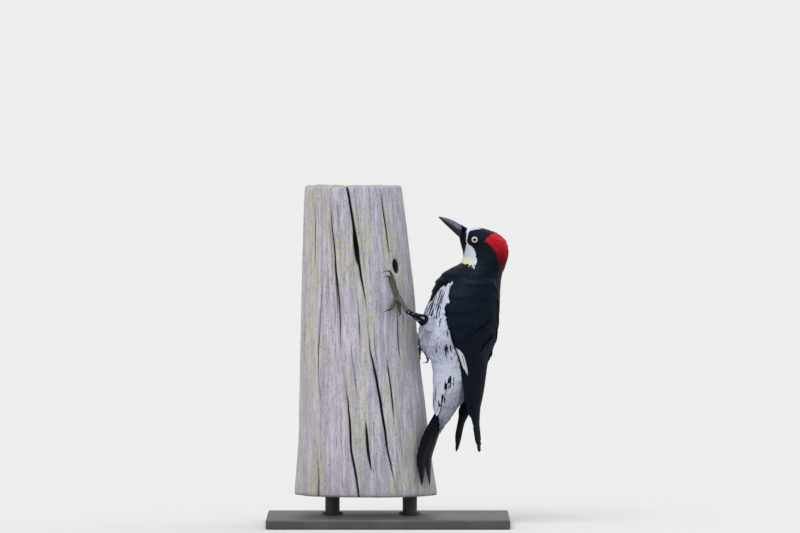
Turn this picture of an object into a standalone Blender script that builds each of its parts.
"""Acorn woodpecker clinging to a cut length of weathered snag, on a plain display stand.

The bird is a still, life-size museum model. Its left side faces -Y, its back faces +X and
it climbs towards +Z. The origin is the centre of the base's underside. Tables are in
millimetres and everything that reaches a mesh is in metres.
"""

import math

import bmesh
import bpy
import numpy as np
from mathutils import Matrix, Vector

MM = 0.001
GAP = 0.3

# Cut length of snag: a round face of one radius towards the bird, an oval one behind it.
PERCH_BOTTOM = 24.0
PERCH_TOP = 280.0
FACE_RADIUS = 50.0
REAR_X = (-78.0, -70.0)
REAR_LOBES = 1.4
PERCH_SIDES = 40
PERCH_LEVELS = 11
RIDGE_Y = 18.0
RIDGE_Z = (24.0, 57.0, 107.0, 133.0, 149.0, 182.0, 220.0, 280.0)
RIDGE_X = (42.0, 36.8, 30.8, 27.2, 25.0, 23.6, 19.6, 12.6)

# Display stand.
BASE_SIZE = (200.0, 146.0, 8.0)
BASE_BEVEL = 1.6
ROD_RADIUS = 6.0
ROD_PLACES = (-46.0, 18.0)
SOCKET_DEPTH = 20.0

# Level sections through the body: height, belly side, back side, half width, skew.
BODY_ROWS = (
    (83.0, 45.0, 47.4, 1.5, 0.0),
    (86.0, 43.0, 49.6, 4.0, 0.0),
    (91.0, 39.9, 53.6, 7.0, 0.0),
    (98.0, 37.6, 59.0, 9.6, 0.0),
    (107.0, 36.9, 65.5, 12.2, 0.0),
    (120.0, 36.8, 72.8, 15.2, 0.0),
    (131.0, 35.8, 77.2, 17.2, 0.0),
    (139.0, 33.2, 80.4, 18.8, 0.0),
    (147.0, 27.4, 84.6, 20.2, 0.0),
    (157.0, 24.8, 88.6, 21.8, 0.0),
    (169.0, 27.4, 91.2, 23.2, -0.03),
    (180.0, 31.6, 92.4, 23.8, -0.05),
    (191.0, 35.9, 93.0, 23.4, -0.05),
    (199.5, 39.2, 93.7, 21.8, -0.03),
    (205.5, 43.2, 94.5, 20.2, 0.0),
    (209.5, 47.6, 95.4, 18.8, 0.03),
    (213.0, 53.2, 96.5, 17.5, 0.06),
    (216.5, 59.4, 97.4, 16.4, 0.09),
    (221.5, 61.8, 98.2, 15.3, 0.13),
    (226.0, 61.2, 98.6, 14.4, 0.16),
    (230.0, 60.1, 98.1, 13.8, 0.18),
    (234.0, 59.0, 96.6, 13.1, 0.20),
    (237.3, 58.2, 94.3, 12.3, 0.20),
    (240.3, 59.4, 90.2, 11.0, 0.18),
    (242.5, 61.8, 85.8, 9.2, 0.14),
    (244.4, 65.4, 79.8, 6.2, 0.08),
    (245.3, 69.0, 76.0, 3.4, 0.0),
    (245.6, 71.6, 74.0, 0.9, 0.0),
)
NECK_ROW = 15
HEAD_ROW = 18
BODY_SIDES = 28

# Eyes.
EYE_PLACE = (71.7, 8.7, 235.6)
EYE_RADIUS = 4.2

# Bill: tip, direction of the gape line below level, and rows of distance from the tip,
# half width, height of the upper half above the gape and depth of the lower half below it.
BILL_TIP = (42.2, 254.2)
BILL_SLOPE = 35.0
BILL_ROWS = (
    (0.0, 0.45, 0.65, 0.60),
    (2.5, 0.95, 1.30, 1.10),
    (6.0, 1.65, 2.65, 1.70),
    (10.0, 2.35, 3.75, 2.35),
    (14.0, 3.05, 4.40, 2.90),
    (20.0, 4.10, 4.75, 3.70),
    (26.0, 4.60, 4.90, 4.30),
)

# Folded wing, as level arcs of an oval: height, front edge, oval centre, oval back edge,
# oval half width, distance of the inner edge from the midline, thickness.
WING_ROWS = (
    (204.5, 64.0, 69.0, 94.6, 21.0, 14.0, 1.2),
    (201.0, 57.5, 68.5, 95.2, 22.4, 13.5, 3.0),
    (194.0, 50.8, 66.5, 95.2, 24.3, 12.6, 5.2),
    (183.0, 47.0, 63.5, 94.9, 25.8, 11.2, 6.0),
    (172.0, 48.2, 61.0, 94.0, 26.0, 9.4, 5.8),
    (158.0, 51.6, 58.5, 91.6, 24.8, 7.0, 5.0),
    (147.0, 54.4, 57.0, 87.4, 23.2, 4.2, 4.2),
    (137.0, 58.0, 56.8, 83.2, 20.8, 2.4, 3.3),
    (120.0, 61.6, 58.0, 80.7, 17.6, 1.6, 2.5),
    (105.0, 63.4, 60.0, 77.8, 14.6, 1.5, 1.9),
    (95.0, 66.2, 62.5, 75.6, 12.6, 1.6, 1.6),
    (84.0, 69.6, 64.5, 75.0, 11.4, 1.8, 1.3),
    (70.0, 71.6, 65.5, 76.2, 9.8, 2.0, 1.1),
    (62.5, 72.4, 66.0, 76.3, 9.0, 2.2, 0.9),
    (60.4, 72.7, 66.2, 76.2, 8.8, 2.4, 0.7),
)
WING_STEPS = 1
WING_SIDES = 11
RIGHT_DROOP_FROM = 106.0
RIGHT_DROOP = 26.0
RIGHT_DROOP_OVER = 35.0

# Tail: middle line from root to tip, then the plate across it.
TAIL_LINE = (
    (51.5, 1.0, 107.0), (42.2, -1.6, 88.5), (34.2, -7.0, 69.5), (29.2, -11.2, 51.0),
    (30.0, -13.6, 33.0),
)
TAIL_ACROSS = (0.574, 0.819)
TAIL_HALF_WIDTH = ((0.0, 6.5), (0.25, 10.2), (0.45, 11.6), (0.7, 11.8), (1.0, 11.4))
TAIL_THICKNESS = ((0.0, 4.0), (0.4, 2.8), (0.75, 1.8), (1.0, 0.9))
TAIL_ROOF = 2.2
# Feather ends from the middle outwards: share of the half width, share of the length.
TAIL_ENDS = (
    (0.0, 0.78), (0.16, 0.82), (0.34, 0.90), (0.50, 1.0), (0.60, 0.90), (0.68, 0.80),
    (0.78, 0.76), (0.84, 0.69), (0.94, 0.65), (1.0, 0.58),
)
TAIL_ROWS = 9
TAIL_SEAT = 0.5

# Legs, in snag terms: angle round the face, height, lift off the wood.
TUBE_RESOLUTION = 1
LEGS = {
    "left": {
        "heel": (-49.5, 176.7, 16.0),
        "knee": (40.5, -9.5, 163.5),
        "ankle": (-47.8, 188.0, 3.2),
        "toes": (
            ((-46.8, 182.0, 1.9), (-46.0, 177.6, 1.6)),
            ((-50.6, 193.0, 2.2), (-52.6, 198.4, 1.7), (-54.2, 203.4, 1.6)),
            ((-49.4, 194.0, 2.4), (-50.4, 201.0, 1.9), (-51.8, 207.0, 1.6)),
            ((-51.4, 185.6, 2.0), (-54.0, 181.2, 1.6), (-56.4, 179.2, 1.5)),
        ),
        "claws": (
            ((-46.6, 174.6, 2.6), (-48.8, 172.4, 0.7)),
            ((-57.2, 206.0, 2.8), (-61.4, 204.8, 0.6)),
            ((-56.0, 210.4, 3.4), (-62.6, 209.0, 0.6)),
            ((-60.6, 178.0, 2.6), (-65.0, 175.8, 0.6)),
        ),
    },
    "right": {
        "heel": (13.0, 138.6, 15.0),
        "knee": (49.0, 8.5, 156.0),
        "ankle": (9.0, 147.6, 3.2),
        "toes": (
            ((14.0, 142.6, 1.9), (16.5, 138.8, 1.6)),
            ((17.0, 152.4, 2.2), (20.5, 156.6, 1.7), (23.0, 160.4, 1.6)),
            ((24.0, 149.0, 2.4), (31.0, 152.8, 1.9), (37.0, 156.0, 1.6)),
            ((5.0, 143.6, 4.2), (2.0, 140.4, 5.8), (0.0, 137.4, 6.2)),
        ),
        "claws": (
            ((18.6, 135.6, 2.6), (20.0, 133.2, 0.7)),
            ((26.4, 163.4, 2.8), (29.0, 162.6, 0.6)),
            ((42.6, 158.6, 3.2), (46.8, 157.0, 0.6)),
            ((-1.0, 133.6, 5.2), (-2.0, 133.0, 0.9)),
        ),
    },
}
TIBIA_RADII = (2.4, 3.5, 5.4, 7.0, 7.4)
TARSUS_RADII = (2.3, 1.7, 1.6, 1.9, 2.6)
TOE_RADII = (1.7, 1.35, 1.25, 1.05)
CLAW_RADII = (0.95, 0.85, 0.62, 0.25)
TOE_POINTS = 6
CLAW_POINTS = 7
CLAW_GAP = 0.5
CLAW_ROOT = 0.8

FINISHES = {
    "black_plumage": ((0.012, 0.014, 0.024), 0.45, 0.0),
    "pale_plumage": ((0.62, 0.61, 0.60), 0.80, 0.0),
    "horn": ((0.035, 0.036, 0.045), 0.30, 0.0),
    "eye": ((0.72, 0.62, 0.60), 0.08, 0.0),
    "scutes": ((0.13, 0.125, 0.09), 0.55, 0.0),
    "claw": ((0.015, 0.014, 0.014), 0.28, 0.0),
    "weathered_wood": ((0.36, 0.34, 0.36), 0.88, 0.0),
    "stand_metal": ((0.055, 0.056, 0.060), 0.45, 0.6),
}


def clear_scene():
    """Take out whatever the scene starts with."""
    for item in list(bpy.context.scene.objects):
        bpy.data.objects.remove(item, do_unlink=True)


def new_collection(name):
    """A collection linked to the scene."""
    collection = bpy.data.collections.new(name)
    bpy.context.scene.collection.children.link(collection)
    return collection


def finish_material(name, finish):
    """A Principled material of its own for one object."""
    colour, roughness, metallic = FINISHES[finish]
    material = bpy.data.materials.new(name + "_finish")
    material.use_nodes = True
    shader = material.node_tree.nodes["Principled BSDF"]
    shader.inputs["Base Color"].default_value = (*colour, 1.0)
    shader.inputs["Roughness"].default_value = roughness
    shader.inputs["Metallic"].default_value = metallic
    material.diffuse_color = (*colour, 1.0)
    return material


def add_part(name, mesh, finish, smooth_angle=50.0):
    """Link a finished mesh as one named sub-part with its own material."""
    mesh.name = name
    mesh.materials.clear()
    mesh.materials.append(finish_material(name, finish))
    mesh.shade_smooth()
    mesh.set_sharp_from_angle(angle=math.radians(smooth_angle))
    part = bpy.data.objects.new(name, mesh)
    PARTS.objects.link(part)
    return part


def add_cutter(name, mesh):
    """Link a helper shape that is never a sub-part."""
    cutter = bpy.data.objects.new(name, mesh)
    CUTTERS.objects.link(cutter)
    cutter.display_type = "WIRE"
    cutter.hide_render = True
    return cutter


def combine(part, helper, operation):
    """Join or cut a sub-part with a helper shape."""
    modifier = part.modifiers.new(operation.lower() + "_" + helper.name, "BOOLEAN")
    modifier.operation = operation
    modifier.object = helper
    modifier.solver = "EXACT"


def swollen_copy(part, distance=GAP):
    """A helper shape that stands one clearance proud of a sub-part all round."""
    shape = bmesh.new()
    shape.from_mesh(part.data)
    shape.normal_update()
    moves = [v.normal * min(v.calc_shell_factor(), 2.0) * distance * MM for v in shape.verts]
    for vertex, move in zip(shape.verts, moves):
        vertex.co += move
    mesh = bpy.data.meshes.new(part.name + "_clearance")
    shape.to_mesh(mesh)
    shape.free()
    return add_cutter(part.name + "_clearance", mesh)


def smooth(keys, values, at):
    """Read a monotone cubic through (keys, values) at one place or many."""
    keys = np.asarray(keys, dtype=float)
    values = np.asarray(values, dtype=float)
    step = np.diff(keys)
    slope = np.diff(values) / step
    tangent = np.zeros_like(values)
    tangent[0] = slope[0]
    tangent[-1] = slope[-1]
    product = slope[1:] * slope[:-1]
    total = np.where(product > 0.0, slope[1:] + slope[:-1], 1.0)
    tangent[1:-1] = np.where(product > 0.0, 2.0 * product / total, 0.0)
    at = np.clip(at, keys[0], keys[-1])
    i = np.clip(np.searchsorted(keys, at, side="right") - 1, 0, len(step) - 1)
    t = (at - keys[i]) / step[i]
    h00 = 2 * t**3 - 3 * t**2 + 1
    h10 = t**3 - 2 * t**2 + t
    h01 = 3 * t**2 - 2 * t**3
    h11 = t**3 - t**2
    return (
        h00 * values[i] + h10 * step[i] * tangent[i]
        + h01 * values[i + 1] + h11 * step[i] * tangent[i + 1]
    )


def row_at(rows, place):
    """Read every column of a table of rows at a fractional row number."""
    columns = np.array(rows).T
    return [float(smooth(range(len(rows)), column, place)) for column in columns]


def loft(rings):
    """One closed body through rings of equal count, with flat ends."""
    shape = bmesh.new()
    count = len(rings[0])
    verts = [[shape.verts.new([c * MM for c in point]) for point in ring] for ring in rings]
    for lower, upper in zip(verts, verts[1:]):
        for k in range(count):
            j = (k + 1) % count
            shape.faces.new((lower[k], lower[j], upper[j], upper[k]))
    for ring in (verts[0], verts[-1]):
        close_ring(shape, ring)
    bmesh.ops.recalc_face_normals(shape, faces=shape.faces)
    mesh = bpy.data.meshes.new("loft")
    shape.to_mesh(mesh)
    shape.free()
    return mesh


def close_ring(shape, ring):
    """Fill a ring with strips between its two sides, so that a bent one stays clean."""
    low = 0
    high = len(ring) - 1
    while high - low > 2:
        shape.faces.new((ring[low], ring[low + 1], ring[high - 1], ring[high]))
        low += 1
        high -= 1
    if high - low == 2:
        shape.faces.new((ring[low], ring[low + 1], ring[high]))


def curve_through(points, count):
    """Points of one smooth curve through the given ones."""
    points = np.array(points, dtype=float)
    if len(points) < 3:
        return [points[0] + (points[-1] - points[0]) * t for t in np.linspace(0, 1, count)]
    padded = np.vstack((2 * points[0] - points[1], points, 2 * points[-1] - points[-2]))
    curve = []
    for place in np.linspace(0.0, len(points) - 1.0, count):
        i = min(int(place), len(points) - 2)
        t = place - i
        a, b, c, d = padded[i:i + 4]
        curve.append(0.5 * (
            2 * b + (c - a) * t + (2 * a - 5 * b + 4 * c - d) * t**2
            + (3 * b - a - 3 * c + d) * t**3
        ))
    return curve


def tapered_tube(name, points, radii, count):
    """A tube with a radius that changes along a smooth path, as a welded mesh."""
    path = curve_through(points, count)
    sizes = smooth(np.linspace(0.0, 1.0, len(radii)), radii, np.linspace(0.0, 1.0, count))
    curve = bpy.data.curves.new(name, "CURVE")
    curve.dimensions = "3D"
    curve.bevel_depth = MM
    curve.bevel_resolution = TUBE_RESOLUTION
    curve.use_fill_caps = True
    spline = curve.splines.new("POLY")
    spline.points.add(count - 1)
    for point, place, size in zip(spline.points, path, sizes):
        point.co = (*(place * MM), 1.0)
        point.radius = float(size)
    holder = bpy.data.objects.new(name, curve)
    bpy.context.scene.collection.objects.link(holder)
    graph = bpy.context.evaluated_depsgraph_get()
    mesh = bpy.data.meshes.new_from_object(holder.evaluated_get(graph))
    bpy.data.objects.remove(holder, do_unlink=True)
    bpy.data.curves.remove(curve)
    shape = bmesh.new()
    shape.from_mesh(mesh)
    bmesh.ops.remove_doubles(shape, verts=shape.verts, dist=0.00001)
    bmesh.ops.recalc_face_normals(shape, faces=shape.faces)
    shape.to_mesh(mesh)
    shape.free()
    return mesh


def ridge_at(z):
    """How far the snag's ridge stands towards the bird at a height."""
    return float(smooth(RIDGE_Z, RIDGE_X, z))


def on_wood(angle, z, lift):
    """A point off the snag's round face, from its angle, height and lift."""
    turn = math.radians(angle)
    reach = FACE_RADIUS + lift
    centre = ridge_at(z) - FACE_RADIUS
    return (centre + reach * math.cos(turn), RIDGE_Y + reach * math.sin(turn), z)


def perch_ring(z):
    """One level section of the snag: round towards the bird, lobed behind."""
    centre = ridge_at(z) - FACE_RADIUS
    rear_depth = centre - float(np.interp(z, (PERCH_BOTTOM, PERCH_TOP), REAR_X))
    ring = []
    for k in range(PERCH_SIDES):
        turn = 2.0 * math.pi * k / PERCH_SIDES
        rear = max(0.0, -math.cos(turn))
        lobes = math.sin(5.0 * turn + 0.012 * z) + 0.6 * math.sin(9.0 * turn - 0.02 * z)
        lobe = REAR_LOBES * lobes * min(1.0, 3.0 * rear)
        depth = rear_depth if rear else FACE_RADIUS
        x = centre + (depth + lobe) * math.cos(turn)
        y = RIDGE_Y + (FACE_RADIUS + lobe) * math.sin(turn)
        ring.append((x, y, z))
    return ring


def build_perch():
    """The cut length of snag, with two blind sockets for the rods."""
    levels = np.linspace(PERCH_BOTTOM, PERCH_TOP, PERCH_LEVELS)
    perch = add_part("perch", loft([perch_ring(z) for z in levels]), "weathered_wood", 35.0)
    for number, x in enumerate(ROD_PLACES, start=1):
        socket = cylinder_mesh(ROD_RADIUS + GAP, SOCKET_DEPTH + 2.0)
        place = Vector((x, RIDGE_Y, PERCH_BOTTOM + SOCKET_DEPTH / 2.0 - 1.0)) * MM
        cutter = add_cutter("socket_%d" % number, socket)
        cutter.location = place
        combine(perch, cutter, "DIFFERENCE")


def cylinder_mesh(radius, height, sides=32):
    """An upright closed cylinder round its own centre."""
    shape = bmesh.new()
    bmesh.ops.create_cone(
        shape, cap_ends=True, segments=sides,
        radius1=radius * MM, radius2=radius * MM, depth=height * MM,
    )
    mesh = bpy.data.meshes.new("cylinder")
    shape.to_mesh(mesh)
    shape.free()
    return mesh


def build_stand():
    """Flat base and two short rods that reach up into the snag."""
    shape = bmesh.new()
    bmesh.ops.create_cube(shape, size=1.0)
    bmesh.ops.scale(shape, vec=Vector(BASE_SIZE) * MM, verts=shape.verts)
    mesh = bpy.data.meshes.new("stand_base")
    shape.to_mesh(mesh)
    shape.free()
    base = add_part("stand_base", mesh, "stand_metal", 30.0)
    base.location.z = BASE_SIZE[2] / 2.0 * MM
    bevel = base.modifiers.new("rounded_edges", "BEVEL")
    bevel.width = BASE_BEVEL * MM
    bevel.segments = 3
    bottom = BASE_SIZE[2] + GAP
    top = PERCH_BOTTOM + SOCKET_DEPTH - GAP
    for number, x in enumerate(ROD_PLACES, start=1):
        rod = cylinder_mesh(ROD_RADIUS, top - bottom)
        part = add_part("stand_rod_%d" % number, rod, "stand_metal")
        part.location = Vector((x, RIDGE_Y, (top + bottom) / 2.0)) * MM


def body_ring(place, lift=0.0):
    """One level section of the body at a fractional row number."""
    z, front, back, half, skew = row_at(BODY_ROWS, place)
    centre = (front + back) / 2.0
    depth = (back - front) / 2.0
    ring = []
    for k in range(BODY_SIDES):
        turn = 2.0 * math.pi * k / BODY_SIDES
        x = centre + depth * math.cos(turn)
        y = half * math.sin(turn) * (1.0 + skew * math.cos(turn))
        ring.append((x, y, z + lift))
    return ring


def body_length(first, last, steps=1):
    """A length of the body between two rows, set one clearance above the piece below."""
    places = np.linspace(first, last, (last - first) * steps + 1)
    lifts = [GAP] + [0.0] * (len(places) - 1) if first else [0.0] * len(places)
    return loft([body_ring(place, lift) for place, lift in zip(places, lifts)])


def build_body():
    """Trunk, neck and head as three lengths of one form."""
    trunk = add_part("trunk", body_length(0, NECK_ROW), "pale_plumage")
    add_part("neck", body_length(NECK_ROW, HEAD_ROW), "black_plumage")
    head = add_part("head", body_length(HEAD_ROW, len(BODY_ROWS) - 1), "black_plumage")
    return trunk, head


def build_eyes():
    """Two eyeballs, each set in its own socket."""
    eyes = []
    for side, sign in (("left", -1.0), ("right", 1.0)):
        shape = bmesh.new()
        bmesh.ops.create_uvsphere(shape, u_segments=18, v_segments=12, radius=EYE_RADIUS * MM)
        mesh = bpy.data.meshes.new("eye")
        shape.to_mesh(mesh)
        shape.free()
        eye = add_part("eye_" + side, mesh, "eye", 180.0)
        place = (EYE_PLACE[0], sign * EYE_PLACE[1], EYE_PLACE[2])
        eye.data.transform(Matrix.Translation(Vector(place) * MM))
        eyes.append(eye)
    return eyes


def mandible_ring(distance, half, height, upper, sides=9):
    """A half-round section across one half of the bill, flat at the gape."""
    slope = math.radians(BILL_SLOPE)
    along = Vector((math.cos(slope), 0.0, -math.sin(slope)))
    up = Vector((math.sin(slope), 0.0, math.cos(slope)))
    sign = 1.0 if upper else -1.0
    middle = Vector((BILL_TIP[0], 0.0, BILL_TIP[1])) + along * distance
    ring = []
    for k in range(sides):
        turn = math.pi * k / (sides - 1)
        rise = GAP / 2.0 + height * math.sin(turn) ** 0.9
        ring.append(middle + up * (sign * rise) + Vector((0.0, half * math.cos(turn), 0.0)))
    return ring


def build_bill():
    """Upper and lower halves of the chisel bill."""
    halves = []
    for name, column in (("bill_upper", 2), ("bill_lower", 3)):
        rings = []
        for place in np.linspace(0.0, len(BILL_ROWS) - 1.0, 2 * len(BILL_ROWS) - 1):
            row = row_at(BILL_ROWS, place)
            rings.append(mandible_ring(row[0], row[1], row[column], column == 2))
        halves.append(add_part(name, loft(rings), "horn"))
    return halves


def wing_ring(place, sign, droop):
    """A level section of a folded wing: a blade bent along an oval."""
    z, front, centre, back, half, inner, thick = row_at(WING_ROWS, place)
    depth = back - centre
    start = math.acos(max(-1.0, min(1.0, (front - centre) / depth)))
    end = math.asin(min(1.0, inner / half))
    fall = max(0.0, RIGHT_DROOP_FROM - z)
    shift = -droop * (1.0 - math.exp(-fall / RIGHT_DROOP_OVER))
    outer_side = []
    inner_side = []
    for k in range(WING_SIDES):
        share = k / (WING_SIDES - 1)
        turn = start + (end - start) * share
        body = 0.35 + 0.65 * math.sin(math.pi * share) ** 0.5
        for side, depth_in in ((outer_side, 0.0), (inner_side, max(0.55, thick * body))):
            x = centre + shift + (depth - depth_in) * math.cos(turn)
            y = (half - depth_in) * math.sin(turn)
            side.append((x, sign * y, z))
    return outer_side + inner_side[::-1]


def build_wings():
    """Both folded wings. The right one hangs away from the back towards its tip."""
    wings = []
    places = np.linspace(0.0, len(WING_ROWS) - 1.0, WING_STEPS * (len(WING_ROWS) - 1) + 1)
    for side, sign, droop in (("left", -1.0, 0.0), ("right", 1.0, RIGHT_DROOP)):
        rings = [wing_ring(place, sign, droop) for place in places]
        wings.append(add_part("wing_" + side, loft(rings), "black_plumage"))
    return wings


def tail_point(along, share, face, grow=0.0):
    """A point of the tail plate: along its length, across it, and which face."""
    middle = np.array([smooth(np.linspace(0.0, 1.0, len(TAIL_LINE)), column, along)
                       for column in np.array(TAIL_LINE).T])
    half = float(smooth(*np.array(TAIL_HALF_WIDTH).T, along)) + grow
    thick = float(smooth(*np.array(TAIL_THICKNESS).T, along)) + 4.0 * grow
    across = np.array((TAIL_ACROSS[0], TAIL_ACROSS[1], 0.0))
    outward = np.array((TAIL_ACROSS[1], -TAIL_ACROSS[0], 0.0))
    edge = 1.0 - 0.55 * abs(share) ** 2
    rise = TAIL_ROOF * (1.0 - share**2) * (1.0 - 0.5 * along) + face * thick * edge / 2.0
    return middle + across * half * share + outward * rise


def tail_ring(share, end, grow=0.0):
    """A closed strip down one face of the tail and up the other."""
    places = np.linspace(0.0, end, TAIL_ROWS)
    down = [tail_point(place, share, 1.0, grow) for place in places]
    up = [tail_point(place, share, -1.0, grow) for place in places[::-1]]
    return down + up


def build_tail():
    """The stiff tail as one plate with pointed feather ends, and the seat for its root."""
    columns = [(-share, end) for share, end in reversed(TAIL_ENDS[1:])] + list(TAIL_ENDS)
    rings = [tail_ring(share, end) for share, end in columns]
    add_part("tail", loft(rings), "black_plumage", 40.0)
    seat = loft([tail_ring(share, TAIL_SEAT, GAP) for share in np.linspace(-1.0, 1.0, 9)])
    seat.transform(Matrix.Translation((0.0, 0.0, GAP * MM)))
    return add_cutter("tail_seat", seat)


def build_leg(side, plan):
    """Feathered tibia, scaly foot with four toes, and four claws."""
    heel = on_wood(*plan["heel"])
    ankle = on_wood(*plan["ankle"])
    knee = plan["knee"]
    away = (Vector(knee) - Vector(heel)).normalized() * (1.6 + GAP)
    start = Vector(heel) + away
    tibia = add_part(
        "tibia_" + side, tapered_tube("tibia", (start, knee), TIBIA_RADII, 6), "pale_plumage",
    )
    foot_mesh = tapered_tube("tarsus", (heel, ankle), TARSUS_RADII, 6)
    foot = add_part("foot_" + side, foot_mesh, "scutes")
    combine(foot, swollen_copy(tibia), "DIFFERENCE")
    for number, (toe, claw) in enumerate(zip(plan["toes"], plan["claws"]), start=1):
        path = [ankle] + [on_wood(*place) for place in toe]
        name = "toe_%s_%d" % (side, number)
        mesh = tapered_tube(name, path, TOE_RADII, TOE_POINTS)
        combine(foot, add_cutter(name, mesh), "UNION")
        build_claw("claw_%s_%d" % (side, number), path, claw)
    return tibia


def build_claw(name, toe_path, claw):
    """A hooked claw that starts one clearance beyond the toe's end."""
    before, end = [Vector(point) for point in curve_through(toe_path, TOE_POINTS)[-2:]]
    along = (end - before).normalized()
    points = [end + along * (CLAW_GAP + reach) for reach in (0.0, CLAW_ROOT)]
    points += [on_wood(*place) for place in claw]
    add_part(name, tapered_tube(name, points, CLAW_RADII, CLAW_POINTS), "claw")


def main():
    """Build the stand, the snag and the bird, then cut the seats between pieces."""
    build_stand()
    build_perch()
    trunk, head = build_body()
    for piece in build_eyes() + build_bill():
        combine(head, swollen_copy(piece), "DIFFERENCE")
    seated = build_wings() + [build_leg(side, plan) for side, plan in LEGS.items()]
    for piece in seated:
        combine(trunk, swollen_copy(piece), "DIFFERENCE")
    combine(trunk, build_tail(), "DIFFERENCE")


clear_scene()
PARTS = new_collection("woodpecker")
CUTTERS = new_collection("woodpecker_cutters")
main()
